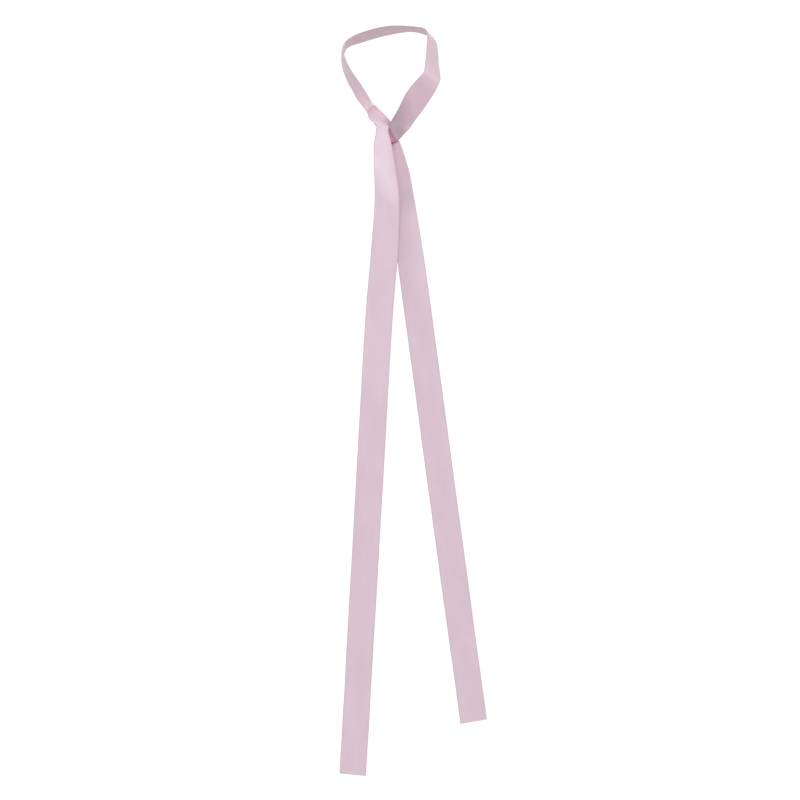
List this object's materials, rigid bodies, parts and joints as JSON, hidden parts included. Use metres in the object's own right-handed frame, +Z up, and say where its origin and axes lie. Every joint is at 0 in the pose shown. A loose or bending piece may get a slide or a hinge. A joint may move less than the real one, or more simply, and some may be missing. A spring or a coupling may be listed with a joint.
{
  "type": "skinny scarf",
  "caption": "Long narrow satin neck scarf with straight ends, looped round a neck and held by a half knot in front, its tails hanging side by side.",
  "frame": {"origin": "centre of the neck opening, where the neck holds the scarf up", "axes": "+Z up along the neck, -Y towards the front of the wearer, +X to the right as seen from the front"},
  "size_m": [0.1734, 0.1615, 0.8941],
  "materials": {
    "satin": "soft satin"
  },
  "bodies": {
    "root": {"scarf_band": "satin"}
  },
  "joints": []
}
